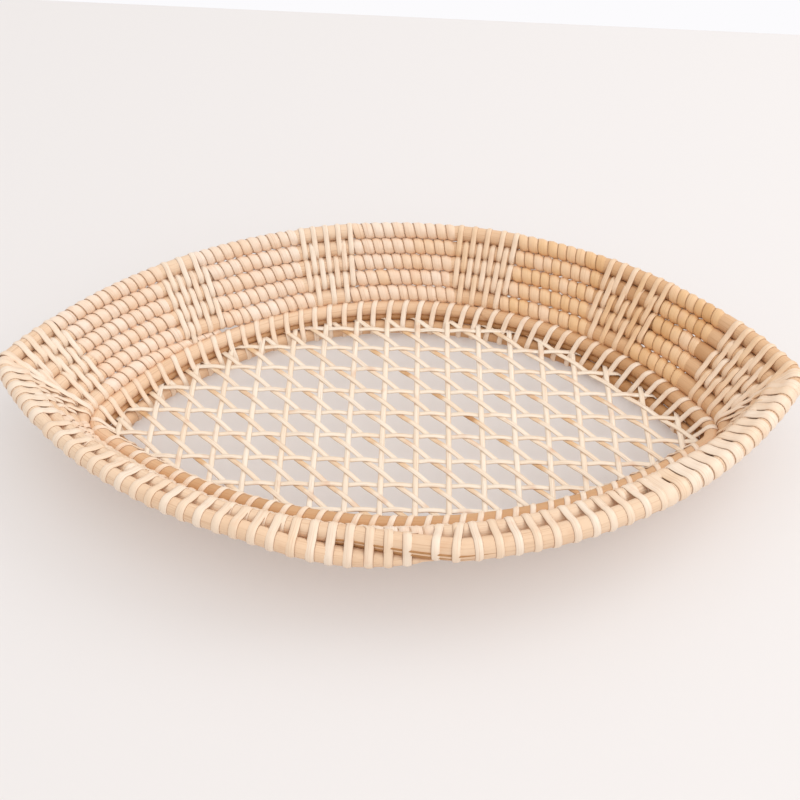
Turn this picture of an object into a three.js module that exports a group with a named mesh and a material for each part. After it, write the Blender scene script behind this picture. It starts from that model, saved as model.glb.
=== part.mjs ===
// A leaf-shaped rattan tray. Two bare rods clamp an open three-way cane weave, and
// one long rod climbs from them in five and a bit turns as the sloping wall and the rim.
// Millimetres, +Z up. The origin is under the middle of the tray, on the face it stands on.
import * as THREE from 'three';

// Foot ring: the lowest rod, under the weave
const footHalfLength = 144.5;
const footBackWidth = 85.2; // from the line between the tips to the back of the ring
const footFrontWidth = 56.7; // the same, to its flatter front
const footRodDiameter = 7.8;
const footTipRadius = 7;

// Clamp ring: the bare rod that holds the weave down on the foot ring
const clampRodDiameter = 7.4;
const clampLean = 36; // degrees off plumb, outwards, from the foot rod to the clamp rod
const clampTipReach = 7.5; // from the foot rod's tip out to the clamp rod's, in plan
const clampTipRadius = 12;
const channelClearance = 0.3; // between either rod and the weave

// Rim: the last turn of the wall, along the middle of its rod
const rimHalfLength = 190;
const rimHalfWidth = 112.2;
const rimTipRadius = 10;
const rimRise = 30.5; // above the clamp rod's middle
const rimShiftX = -2.7; // the rim's middle from the middle between the floor's tips
const rimShiftY = 7.3; // the same, towards the back

// Wall: one rod wound as a rising spiral between clamp ring and rim
const wallRodDiameter = 8.3; // over the peel wound on it, where it isn't squeezed
const rowClearance = 0.8; // between two rows where they lie closest
const seatClearance = 0.3; // between the clamp rod and the lowest row
const wallRows = 5; // rows all round; one more lies over the stretch from start to end
const coilStart = 1.36; // quadrants counter-clockwise from the right tip, where the rod starts
const coilEnd = 3.1; // the same, where its tail dies out on the rim
const coilTaper = 0.28; // quadrants over which the start swells to its full size
const coilEndTaper = 0.16; // quadrants over which the tail thins out
const rodEndDiameter = 1.6;
const frontBow = [-3.9, -1.9, 0.5, 2.5, 4.9]; // the front wall's sag and swell, row by row up
const frontRimBow = 1.8; // the same for the rim, where it is two rods wide
const tailSlipStart = 2.75; // from here the rod's tail slips down outside the row below it
const tailSlipEnd = 2.95;
const tailSlip = 6.7; // how far it slips back along the way up
const tailSetOut = 4; // how far outside that way it ends

// Weave: three sets of cane strands, each going over one set and under the other
const crossStrands = 18; // from front to back
const longStrands = 9; // from tip to tip
const slantStrands = 18; // from back left to front right
const crossEndRoom = 5.1; // past the last cross strands to the floor's tips, on average
const longEndRoom = 6.55; // past the last long strands to its back and front, on average
const weaveShiftX = -2.1; // the weave's middle from the middle between the floor's tips
const weaveShiftY = -1.6; // the weave's middle from halfway between the floor's back and front
const strandWidth = 2.5;
const strandThickness = 0.7;
const strandLift = 1.05; // how far a strand rises or dips where it crosses another
const strandTuck = 50; // degrees round the foot rod to a strand's hidden end

// How finely curves are stepped
const rodSides = 8;
const tipSteps = 3; // in each half of a tip
const sideSteps = 8; // from a tip to the middle of a side
const tipTurn = 55; // degrees off the front-back line, the normal where the tip steps begin

const radians = THREE.MathUtils.degToRad;
const caneColour = 0xf0d9b4;
const rodColour = 0xd8b07c;
const peelColour = 0xe9c79c;

// A leaf outline: two wide arcs, at the back and the front, and a small arc round each tip.
class LeafOutline {
  constructor(halfLength, backWidth, frontWidth, tipRadius) {
    this.tipRadius = tipRadius;
    this.tipCentre = halfLength - tipRadius;
    this.back = this.sideArc(backWidth);
    this.front = this.sideArc(frontWidth);
  }

  // The radius of a wide arc, how far its centre lies on its own side, and its half sweep.
  sideArc(width) {
    const squares = width ** 2 + this.tipCentre ** 2 - this.tipRadius ** 2;
    const radius = squares / (2 * (width - this.tipRadius));
    return { radius, centre: width - radius, sweep: Math.atan2(this.tipCentre, radius - width) };
  }

  // The point and outward normal at a place in quadrants: 0 right tip, 1 back, 2 left tip, 3 front.
  at(place) {
    const quadrant = ((Math.floor(place) % 4) + 4) % 4;
    const share = place - Math.floor(place);
    const fromTip = quadrant % 2 === 0 ? share : 1 - share;
    const tipShare = tipSteps / (tipSteps + sideSteps);
    const normal = radians(fromTip < tipShare
      ? 90 - (90 - tipTurn) * fromTip / tipShare
      : tipTurn * (1 - fromTip) / (1 - tipShare));
    const signX = quadrant === 0 || quadrant === 3 ? 1 : -1;
    const signY = quadrant < 2 ? 1 : -1;
    const side = quadrant < 2 ? this.back : this.front;
    const onTip = normal > side.sweep;
    const radius = onTip ? this.tipRadius : side.radius;
    const x = (onTip ? this.tipCentre : 0) + radius * Math.sin(normal);
    const y = (onTip ? 0 : side.centre) + radius * Math.cos(normal);
    return {
      point: new THREE.Vector2(signX * x, signY * y),
      normal: new THREE.Vector2(signX * Math.sin(normal), signY * Math.cos(normal)),
    };
  }

  // How far inside the outline a point lies, and the outward direction there.
  inset(x, y) {
    const side = y < 0 ? this.front : this.back;
    const sideX = Math.abs(x);
    const sideY = Math.abs(y) - side.centre;
    const angle = Math.atan2(sideX, sideY);
    const pastTipCentre = sideX > this.tipCentre - Math.abs(y) * Math.tan(side.sweep);
    const onTip = angle > side.sweep && pastTipCentre;
    const arm = onTip
      ? new THREE.Vector2(sideX - this.tipCentre, Math.abs(y))
      : new THREE.Vector2(sideX, sideY);
    const length = arm.length();
    const outward = arm.divideScalar(length || 1);
    outward.set(outward.x * Math.sign(x || 1), outward.y * Math.sign(y || 1));
    return { depth: (onTip ? this.tipRadius : side.radius) - length, outward };
  }
}

// One closed skin over rings of points. An open run is capped at both ends.
function skin(rings, joined) {
  const count = rings[0].length;
  const positions = rings.flat().flatMap((p) => [p.x, p.y, p.z]);
  const faces = [];
  const spans = joined ? rings.length : rings.length - 1;
  for (let i = 0; i < spans; i++) {
    const here = i * count;
    const next = ((i + 1) % rings.length) * count;
    for (let j = 0; j < count; j++) {
      const k = (j + 1) % count;
      faces.push(here + j, here + k, next + j, here + k, next + k, next + j);
    }
  }
  if (!joined) {
    const last = (rings.length - 1) * count;
    for (let j = 1; j < count - 1; j++) {
      faces.push(0, j + 1, j, last, last + j, last + j + 1);
    }
  }
  const geometry = new THREE.BufferGeometry();
  geometry.setAttribute('position', new THREE.Float32BufferAttribute(positions, 3));
  geometry.setIndex(faces);
  geometry.computeVertexNormals();
  return geometry;
}

// A rod along a path that stays nearly level: a flat of its section faces down.
function rod(path, radii, joined) {
  const last = path.length - 1;
  const rings = path.map((centre, i) => {
    const before = joined ? path[(i + last) % path.length] : path[Math.max(i - 1, 0)];
    const after = joined ? path[(i + 1) % path.length] : path[Math.min(i + 1, last)];
    const along = after.clone().sub(before).normalize();
    const side = new THREE.Vector3(0, 0, 1).cross(along).normalize();
    const up = along.clone().cross(side);
    return Array.from({ length: rodSides }, (_, j) => {
      const turn = (j + 0.5) * 2 * Math.PI / rodSides;
      return centre.clone()
        .addScaledVector(up, radii[i] * Math.cos(turn))
        .addScaledVector(side, -radii[i] * Math.sin(turn));
    });
  });
  return skin(rings, joined);
}

const stationsPerTurn = 4 * (tipSteps + sideSteps);
const placeOf = (station) => 4 * station / stationsPerTurn;
const at3 = (flat, z) => new THREE.Vector3(flat.x, flat.y, z);

// Heights and set-outs that follow from the sizes above
const footRadius = footRodDiameter / 2;
const clampRadius = clampRodDiameter / 2;
const footHeight = footRadius * Math.cos(Math.PI / rodSides); // its lowest flat lies at z 0
const weaveHalf = strandLift + strandThickness / 2;
const sheetRadius = footRadius + channelClearance + weaveHalf; // foot rod's middle to the weave's
const clampReach = sheetRadius + weaveHalf + channelClearance + clampRadius;
const clampSetOut = clampReach * Math.sin(radians(clampLean));
const clampHeight = footHeight + clampReach * Math.cos(radians(clampLean));
const footOutline = new LeafOutline(footHalfLength, footBackWidth, footFrontWidth, footTipRadius);
const crossPitch = 2 * (footHalfLength - crossEndRoom) / (crossStrands - 1);
const longPitch = (footBackWidth + footFrontWidth - 2 * longEndRoom) / (longStrands - 1);
const weaveMiddleY = (footBackWidth - footFrontWidth) / 2 + weaveShiftY;
const slantShift = (crossStrands + slantStrands + 1) % 2 / 2; // keeps them between the cross strands
const clampOutline = new LeafOutline(
  footHalfLength + clampTipReach,
  footBackWidth + clampSetOut,
  footFrontWidth + clampSetOut,
  clampTipRadius,
);
const rimOutline = new LeafOutline(rimHalfLength, rimHalfWidth, rimHalfWidth, rimTipRadius);

// The straight way up the wall at a place, from the clamp rod's middle to the rim rod's.
function wayUp(place) {
  const base = clampOutline.at(place);
  const run = rimOutline.at(place).point.add(new THREE.Vector2(rimShiftX, rimShiftY)).sub(base.point);
  const out = run.dot(base.normal);
  const length = Math.hypot(out, rimRise);
  return {
    from: at3(base.point, clampHeight),
    step: at3(run, rimRise),
    length, // square to the rows
    inward: at3(base.normal.clone().multiplyScalar(-rimRise / length), out / length),
  };
}

function ringMesh(name, outline, height, radius) {
  const stations = Array.from({ length: stationsPerTurn }, (_, i) => i);
  const path = stations.map((i) => at3(outline.at(placeOf(i)).point, height));
  const material = new THREE.MeshStandardMaterial({ color: rodColour, roughness: 0.6, metalness: 0 });
  const mesh = new THREE.Mesh(rod(path, stations.map(() => radius), true), material);
  mesh.name = name;
  return mesh;
}

// How much of the extra row lies at a place: 0 none, 1 full.
function extraRow(place) {
  const swell = THREE.MathUtils.clamp((place - coilStart) / coilTaper, 0, 1);
  const fade = THREE.MathUtils.clamp((coilEnd - place) / coilEndTaper, 0, 1);
  return Math.min(swell, fade);
}

// How much the front wall bows at a place: 0 at the tips and the back, 1 along most of the front.
function bowAlong(place) {
  return THREE.MathUtils.clamp(1.35 * Math.sin((place - 2) * Math.PI / 2), 0, 1) * (place < 4 ? 1 : 0);
}

// How far a row of the front lies inside the straight way, at a share of that way. The lowest rows
// sag, and the row below the rim stands proud.
function bowAt(place, share) {
  const knots = [0, ...frontBow, 0, 0];
  const at = THREE.MathUtils.clamp(share * (frontBow.length + 1), 0, frontBow.length + 1);
  const knot = Math.floor(at);
  return bowAlong(place) * THREE.MathUtils.lerp(knots[knot], knots[knot + 1], at - knot);
}

// The wall rod's middle and radius at a turn and a place. The rows share the way up between them:
// the extra row squeezes the others, and where the way is long they lie further apart.
function wallRodAt(turn, place) {
  const way = wayUp(place);
  const extra = extraRow(place);
  const lowest = clampRadius + seatClearance - rowClearance / 2;
  const highest = way.length + (wallRodDiameter + rowClearance) / 2;
  const pitch = (highest - lowest) / (wallRows + extra);
  const starting = place < (coilStart + coilEnd) / 2;
  const rooms = Array.from({ length: wallRows + 1 }, (_, row) => {
    const isExtra = starting ? row === 0 : row === wallRows;
    return isExtra ? pitch * extra : pitch;
  });
  const below = rooms.slice(0, turn).reduce((sum, room) => sum + room, lowest);
  const share = (below + rooms[turn] / 2) / way.length;
  const isTail = turn === wallRows;
  const slip = isTail ? THREE.MathUtils.smoothstep(place, tailSlipStart, tailSlipEnd) : 0;
  const rimBow = isTail ? frontRimBow * extra * bowAlong(place) : 0;
  const bow = THREE.MathUtils.lerp(bowAt(place, share) + rimBow, -tailSetOut, slip);
  return {
    centre: way.from.clone()
      .addScaledVector(way.step, share - slip ** 2 * tailSlip / way.length)
      .addScaledVector(way.inward, bow),
    radius: Math.min(rooms[turn] - rowClearance, wallRodDiameter) / 2,
  };
}

function wallCoil() {
  const path = [];
  const radii = [];
  for (let i = 0; i < (wallRows + 1) * stationsPerTurn; i++) {
    const turn = Math.floor(i / stationsPerTurn);
    const station = i - turn * stationsPerTurn + Math.ceil(coilStart * stationsPerTurn / 4);
    const place = placeOf(station);
    if (turn === wallRows && place > coilEnd) break;
    const { centre, radius } = wallRodAt(turn, place);
    if (radius < rodEndDiameter / 2) continue;
    path.push(centre);
    radii.push(radius);
  }
  const material = new THREE.MeshStandardMaterial({ color: peelColour, roughness: 0.55, metalness: 0 });
  const mesh = new THREE.Mesh(rod(path, radii, false), material);
  mesh.name = 'wall_coil';
  let leastGap = Infinity;
  path.forEach((point, i) => {
    const above = i + stationsPerTurn;
    for (let j = above - sideSteps; j < Math.min(above + sideSteps, path.length - 1); j++) {
      const span = new THREE.Line3(path[j], path[j + 1]);
      const nearest = span.closestPointToPointParameter(point, true);
      const away = span.at(nearest, new THREE.Vector3()).distanceTo(point);
      const radius = THREE.MathUtils.lerp(radii[j], radii[j + 1], nearest);
      leastGap = Math.min(leastGap, away - radii[i] - radius);
    }
  });
  console.log(`wall_coil: least gap between its turns ${leastGap.toFixed(2)} mm`);
  return mesh;
}

// A point of the weave's own flat sheet, bent down round the foot rod where it passes over it.
function onSheet(x, y, lift) {
  const { depth, outward } = footOutline.inset(x, y);
  if (depth >= 0) return new THREE.Vector3(x, y, footHeight + sheetRadius + lift);
  const bend = -depth / sheetRadius;
  const reach = depth + (sheetRadius + lift) * Math.sin(bend);
  return new THREE.Vector3(
    x + outward.x * reach,
    y + outward.y * reach,
    footHeight + (sheetRadius + lift) * Math.cos(bend),
  );
}

// A wave that is 1 at whole numbers and -1 halfway between them, in straight runs.
const zigzag = (t) => 4 * Math.abs(t - Math.floor(t) - 0.5) - 1;

// The spot on a line that lies deepest inside the foot ring.
function deepestSpot(onLine, direction) {
  const spots = Array.from({ length: 401 }, (_, i) => (
    onLine.clone().addScaledVector(direction, (i / 200 - 1) * 2 * footHalfLength)
  ));
  const depths = spots.map((spot) => footOutline.inset(spot.x, spot.y).depth);
  return spots[depths.indexOf(Math.max(...depths))];
}

// The three sets of strands. A set's cell is the way from one of its crossings to the next alike,
// and a strand's phase counts cells along it. Cross strands go over the long strands, long over
// slant and slant over cross: the slant strands lie halfway between the others' crossings.
const phaseAlongY = (p) => (p.y - weaveMiddleY) / longPitch;
const phaseAlongX = (p) => (p.x - weaveShiftX) / crossPitch - crossStrands / 2;
const strandSets = [
  {
    label: 'cross_strand',
    count: crossStrands,
    cell: new THREE.Vector2(0, longPitch),
    lineThrough: (k) => new THREE.Vector2(weaveShiftX + k * crossPitch, 0),
    phase: phaseAlongY,
    firstLift: strandLift,
  },
  {
    label: 'long_strand',
    count: longStrands,
    cell: new THREE.Vector2(crossPitch, 0),
    lineThrough: (k) => new THREE.Vector2(0, weaveMiddleY + k * longPitch),
    phase: phaseAlongX,
    firstLift: strandLift,
  },
  {
    label: 'slant_strand',
    count: slantStrands,
    cell: new THREE.Vector2(crossPitch, -longPitch),
    lineThrough: (k) => new THREE.Vector2(weaveShiftX + (k - slantShift) * crossPitch, weaveMiddleY),
    phase: phaseAlongX,
    firstLift: -strandLift,
  },
];

// One strand through a spot, along its set's cell, rising and dipping with the weave.
function strandMesh(name, start, { cell, phase, firstLift }) {
  const direction = cell.clone().normalize();
  const spot = (t) => start.clone().addScaledVector(direction, t);
  const depthAt = (t) => footOutline.inset(spot(t).x, spot(t).y).depth;
  // How far along the strand, one way, it lies a given depth outside the foot ring.
  const reach = (way, depth) => {
    let inside = 0;
    let outside = way * 2 * footHalfLength;
    for (let i = 0; i < 40; i++) {
      const middle = (inside + outside) / 2;
      if (depthAt(middle) > -depth) inside = middle;
      else outside = middle;
    }
    return inside;
  };
  const tuckDepth = sheetRadius * radians(strandTuck);
  const bends = [0, 1, 2, 3].map((bend) => bend / 3 * tuckDepth);
  const stops = bends.flatMap((depth) => [reach(1, depth), reach(-1, depth)]);
  const low = Math.min(...stops);
  const high = Math.max(...stops);
  const half = cell.length() / 2;
  const first = -phase(start) * cell.length();
  for (let k = Math.ceil((low - first) / half); first + k * half < high; k++) {
    const t = first + k * half;
    if (stops.every((stop) => Math.abs(stop - t) > 0.4)) stops.push(t);
  }
  stops.sort((a, b) => a - b);
  const across = new THREE.Vector2(-direction.y, direction.x).multiplyScalar(strandWidth / 2);
  const skinHalf = strandThickness / 2;
  const corners = [[1, skinHalf], [-1, skinHalf], [-1, -skinHalf], [1, -skinHalf]];
  const rings = stops.map((t) => {
    const here = spot(t);
    const lift = firstLift * zigzag(phase(here));
    return corners.map(([side, rise]) => (
      onSheet(here.x + side * across.x, here.y + side * across.y, lift + rise)
    ));
  });
  const material = new THREE.MeshStandardMaterial({ color: caneColour, roughness: 0.5, metalness: 0 });
  const mesh = new THREE.Mesh(skin(rings, false), material);
  mesh.name = name;
  return mesh;
}

// The strands of a set, counted out evenly to both sides of the weave's middle.
function strandsOf(set) {
  const direction = set.cell.clone().normalize();
  return Array.from({ length: set.count }, (_, i) => {
    const start = deepestSpot(set.lineThrough(i - (set.count - 1) / 2), direction);
    return strandMesh(`${set.label}_${String(i + 1).padStart(2, '0')}`, start, set);
  });
}

const tray = new THREE.Group();
tray.name = 'rattan_tray';
tray.add(ringMesh('foot_ring', footOutline, footHeight, footRadius));
tray.add(ringMesh('clamp_ring', clampOutline, clampHeight, clampRadius));
tray.add(wallCoil());
strandSets.forEach((set) => tray.add(...strandsOf(set)));

// The spiral wall isn't quite the same on all sides, so the whole is centred by its outer size.
const middle = new THREE.Box3().setFromObject(tray).getCenter(new THREE.Vector3());
tray.position.set(-middle.x, -middle.y, 0);

export default tray;
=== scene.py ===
import math
import random

import bpy
import numpy as np
from mathutils import Matrix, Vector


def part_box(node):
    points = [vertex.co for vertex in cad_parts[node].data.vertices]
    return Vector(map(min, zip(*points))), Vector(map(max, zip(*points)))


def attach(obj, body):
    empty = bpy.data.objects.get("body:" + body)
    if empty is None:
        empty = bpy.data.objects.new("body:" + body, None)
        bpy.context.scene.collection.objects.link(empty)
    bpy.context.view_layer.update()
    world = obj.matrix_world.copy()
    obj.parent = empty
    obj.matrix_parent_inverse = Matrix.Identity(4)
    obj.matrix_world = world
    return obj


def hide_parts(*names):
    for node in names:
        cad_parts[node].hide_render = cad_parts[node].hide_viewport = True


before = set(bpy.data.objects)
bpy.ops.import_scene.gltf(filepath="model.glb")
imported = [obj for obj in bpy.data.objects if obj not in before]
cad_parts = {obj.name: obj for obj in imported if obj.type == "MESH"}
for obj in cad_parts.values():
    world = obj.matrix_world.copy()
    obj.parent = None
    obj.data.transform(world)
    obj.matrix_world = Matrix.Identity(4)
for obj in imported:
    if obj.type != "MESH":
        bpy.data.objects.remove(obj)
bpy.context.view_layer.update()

# A leaf-shaped rattan tray: a floor of woven cane held between two bare rods, and a wall that is
# one long rod coiled upwards, bound with rattan peel. The tray's sizes are in millimetres and
# turned into metres where a mesh gets its points. The studio's are in metres.

mm = 0.001  # in metres
tiny = 1e-9  # keeps a division from being by zero
luck = random.Random(11)
footLow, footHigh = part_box("foot_ring")
footBackWidth, footFrontWidth = 85.2, 56.7  # from the line between the foot ring's tips
floorMiddle = np.array([(footLow.x + footHigh.x) / 2, (footLow.y + footHigh.y) / 2, 0]) / mm
floorMiddle[1] -= (footBackWidth - footFrontWidth) / 2  # onto the line between the tips


# Outlines of the rings and the rim, seen from above

leaf = {
    "tipTurn": 55,  # degrees off the front-back line where the tip begins
    "tipShare": 3 / 11,  # of a quadrant that the tip takes
}


class LeafOutline:
    # A wide arc at the back, one at the front, and a small arc round each tip. A place counts
    # quadrants counter-clockwise from the right tip: 1 is the middle of the back, 2 the left tip,
    # 3 the middle of the front.
    def __init__(self, halfLength, backWidth, frontWidth, tipRadius):
        self.tipRadius = tipRadius
        self.tipCentre = halfLength - tipRadius
        self.back = self.sideArc(backWidth)
        self.front = self.sideArc(frontWidth)

    def sideArc(self, width):
        # its radius, how far its centre lies on its own side, and its half sweep
        squares = width ** 2 + self.tipCentre ** 2 - self.tipRadius ** 2
        radius = squares / (2 * (width - self.tipRadius))
        return radius, width - radius, math.atan2(self.tipCentre, radius - width)

    def sideOf(self, isBack):
        return (np.where(isBack, back, front) for back, front in zip(self.back, self.front))

    def at(self, place):
        place = np.atleast_1d(np.asarray(place, float))
        quadrant = np.floor(place).astype(int) % 4
        share = place - np.floor(place)
        fromTip = np.where(quadrant % 2 == 0, share, 1 - share)
        tipShare, tipTurn = leaf["tipShare"], leaf["tipTurn"]
        nearTip = 90 - (90 - tipTurn) * fromTip / tipShare
        alongSide = tipTurn * (1 - fromTip) / (1 - tipShare)
        normal = np.radians(np.where(fromTip < tipShare, nearTip, alongSide))
        signX = np.where((quadrant == 0) | (quadrant == 3), 1, -1)
        signY = np.where(quadrant < 2, 1, -1)
        sideRadius, sideCentre, sweep = self.sideOf(quadrant < 2)
        onTip = normal > sweep
        radius = np.where(onTip, self.tipRadius, sideRadius)
        x = np.where(onTip, self.tipCentre, 0) + radius * np.sin(normal)
        y = np.where(onTip, 0, sideCentre) + radius * np.cos(normal)
        point = np.stack([signX * x, signY * y], 1)
        return point, np.stack([signX * np.sin(normal), signY * np.cos(normal)], 1)

    def inset(self, x, y):
        # how far inside the outline a point lies, and the way out
        sideRadius, sideCentre, sweep = self.sideOf(y >= 0)
        sideX, sideY = np.abs(x), np.abs(y) - sideCentre
        pastTipCentre = sideX > self.tipCentre - np.abs(y) * np.tan(sweep)
        onTip = (np.arctan2(sideX, sideY) > sweep) & pastTipCentre
        armX = np.where(onTip, sideX - self.tipCentre, sideX)
        armY = np.where(onTip, np.abs(y), sideY)
        length = np.maximum(np.hypot(armX, armY), tiny)
        depth = np.where(onTip, self.tipRadius, sideRadius) - length
        outward = np.stack([armX / length * np.sign(x), armY / length * np.sign(y)], -1)
        return depth, outward


def unit(vectors):
    return vectors / np.maximum(np.linalg.norm(vectors, axis=-1, keepdims=True), tiny)


def smooth(t):
    t = np.clip(t, 0, 1)
    return t * t * (3 - 2 * t)


def lengthsAlong(line):
    # how far along a line of points each of them lies
    return np.concatenate([[0], np.cumsum(np.linalg.norm(np.diff(line, axis=0), axis=1))])


def pointsAt(stops, travelled, line):
    return np.stack([np.interp(stops, travelled, line[:, i]) for i in range(3)], 1)


def straightUp(line):
    return np.tile([0.0, 0.0, 1.0], (len(line), 1))


def wander(length, step, size):
    # slow random drift along a length, as anything laid by hand has
    knots = [luck.uniform(-size, size) for _ in range(int(length / step) + 3)]
    return lambda s: np.interp(s, np.arange(len(knots)) * step, knots)


def facing(right, upward, back, spot):
    # the matrix of a camera or lamp, which looks away from its back
    return Matrix([[right[i], upward[i], back[i], spot[i]] for i in range(3)] + [[0, 0, 0, 1]])


# Straight pieces, bent along their routes

facesAxis = 0.9  # a face looks along an axis when its normal has more than this of it


def deselectAll():
    bpy.ops.object.select_all(action="DESELECT")


def editOnly(piece, kind, test):
    # enters edit mode with only those points, edges or faces selected that pass the test
    mesh = piece.data
    kinds = {"VERT": mesh.vertices, "EDGE": mesh.edges, "FACE": mesh.polygons}
    bpy.context.tool_settings.mesh_select_mode = [kind == k for k in kinds]
    for items in kinds.values():
        items.foreach_set("select", [False] * len(items))
    for item in kinds[kind]:
        item.select = test(item)
        for v in getattr(item, "vertices", []):
            if item.select:
                mesh.vertices[v].select = True
    bpy.ops.object.mode_set(mode="EDIT")


def modelStrip(name, thickness, crown, shoulder):
    # One step of a flat strip, 1 wide and open at both ends. Shoulder is the share of the width
    # that its top keeps, and crown is how far the middle of the top is raised.
    deselectAll()
    bpy.ops.mesh.primitive_cube_add(size=1, location=(0.5, 0, thickness / 2),
                                    scale=(1, 1, thickness))
    strip = bpy.context.object
    strip.name = name
    bpy.ops.object.transform_apply(location=True, scale=True)
    editOnly(strip, "FACE", lambda face: abs(face.normal.x) > facesAxis)
    bpy.ops.mesh.delete(type="ONLY_FACE")
    bpy.ops.object.mode_set(mode="OBJECT")
    editOnly(strip, "FACE", lambda face: face.normal.z > facesAxis)
    bpy.ops.transform.resize(value=(1, shoulder, 1))
    bpy.ops.object.mode_set(mode="OBJECT")

    def crossesTop(edge):
        first, second = (strip.data.vertices[v].co for v in edge.vertices)
        return min(first.z, second.z) > 0 and abs(first.y - second.y) > shoulder / 2

    editOnly(strip, "EDGE", crossesTop)
    bpy.ops.mesh.subdivide(number_cuts=1)
    bpy.ops.object.mode_set(mode="OBJECT")
    editOnly(strip, "VERT", lambda point: abs(point.co.y) < shoulder / 4)
    bpy.ops.transform.translate(value=(0, 0, crown))
    bpy.ops.object.mode_set(mode="OBJECT")
    strip.hide_render = True
    return strip


def modelRod(name, sides):
    # One step of a round rod of radius 1, open at both ends
    deselectAll()
    bpy.ops.mesh.primitive_cylinder_add(vertices=sides, radius=1, depth=1, end_fill_type="NOTHING",
                                        location=(0.5, 0, 0), rotation=(0, math.pi / 2, 0))
    rod = bpy.context.object
    rod.name = name
    bpy.ops.object.transform_apply(location=True, rotation=True)
    rod.hide_render = True
    return rod


def straightLength(step, steps, name):
    # As many steps as its route needs, merged into one straight piece with closed ends
    deselectAll()
    piece = step.copy()
    piece.data = step.data.copy()
    piece.name = name
    piece.hide_render = False
    bpy.context.scene.collection.objects.link(piece)
    bpy.context.view_layer.objects.active = piece
    piece.select_set(True)
    row = piece.modifiers.new("row", "ARRAY")
    row.count = steps
    row.use_merge_vertices = True
    bpy.ops.object.modifier_apply(modifier="row")
    bpy.ops.object.mode_set(mode="EDIT")
    bpy.ops.mesh.select_all(action="SELECT")
    bpy.ops.mesh.fill_holes(sides=0)
    bpy.ops.object.mode_set(mode="OBJECT")
    return piece


def bendAlong(piece, point, out, width=1.0, thick=1.0, tint=0.5, grainStart=0.0):
    # Lays the straight piece on its route. "straight" keeps the place on the straight piece, so
    # that the fibres follow every bend, and grainStart gives it fibres unlike the next piece's.
    # "edge" is 1 along a strip's two edges.
    along = unit(np.gradient(point, axis=0))
    across = unit(np.cross(out, along))
    out = np.cross(along, across)
    travelled = lengthsAlong(point)
    mesh = piece.data
    places = np.empty(len(mesh.vertices) * 3, np.float32)
    mesh.vertices.foreach_get("co", places)
    places = places.reshape(-1, 3)
    k = np.clip(np.rint(places[:, 0]).astype(int), 0, len(point) - 1)
    count = len(point)
    y = places[:, 1] * np.broadcast_to(width, count)[k]
    z = places[:, 2] * np.broadcast_to(thick, count)[k]
    bent = (point[k] + across[k] * y[:, None] + out[k] * z[:, None]) * mm
    mesh.vertices.foreach_set("co", bent.astype(np.float32).ravel())
    fromMiddle = np.abs(places[:, 1])
    for name, kind, field, values in (
        ("straight", "FLOAT_VECTOR", "vector", np.stack([travelled[k] + grainStart, y, z], 1)),
        ("tint", "FLOAT", "value", np.broadcast_to(tint, count)[k]),
        ("edge", "FLOAT", "value", fromMiddle / fromMiddle.max()),
    ):
        layer = mesh.attributes.new(name, kind, "POINT")
        layer.data.foreach_set(field, values.astype(np.float32).ravel())
    mesh.polygons.foreach_set("use_smooth", np.ones(len(mesh.polygons), bool))
    mesh.update()
    return piece


def joinPieces(pieces, name):
    deselectAll()
    for piece in pieces:
        piece.select_set(True)
    bpy.context.view_layer.objects.active = pieces[0]
    if len(pieces) > 1:
        bpy.ops.object.join()
    joined = bpy.context.object
    joined.name = name
    joined.data.name = name
    return joined


# Materials

def linear(code):
    # an sRGB hex colour as Blender's linear one
    parts = [int(code[i:i + 2], 16) / 255 for i in (1, 3, 5)]
    return tuple(c / 12.92 if c <= 0.04045 else ((c + 0.055) / 1.055) ** 2.4 for c in parts) + (1,)


def addNode(tree, kind, settings=None, sockets=None, stops=None):
    node = tree.nodes.new(kind)
    for name, value in (settings or {}).items():
        setattr(node, name, value)
    for name, value in (sockets or {}).items():
        if isinstance(value, bpy.types.NodeSocket):
            tree.links.new(value, node.inputs[name])
        else:
            node.inputs[name].default_value = value
    if stops:
        elements = node.color_ramp.elements
        for element, (position, colour) in zip(elements, (stops[0], stops[-1])):
            element.position = position
            element.color = linear(colour)
        for position, colour in stops[1:-1]:
            elements.new(position).color = linear(colour)
    return node


grain = {
    "streaks": (0.52, 0.72),  # of the fine noise: where a dark streak begins and is full
    "blotches": (0.58, 0.75),  # the same for the stains
    "sideways": 0.02,  # slow changes of tone run along the piece and hardly across it
    "bumpDepth": 0.00025,  # metres
    "ior": 1.5, "coatRough": 0.28,  # typical of dry plant fibre and of its hard skin
}


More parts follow.
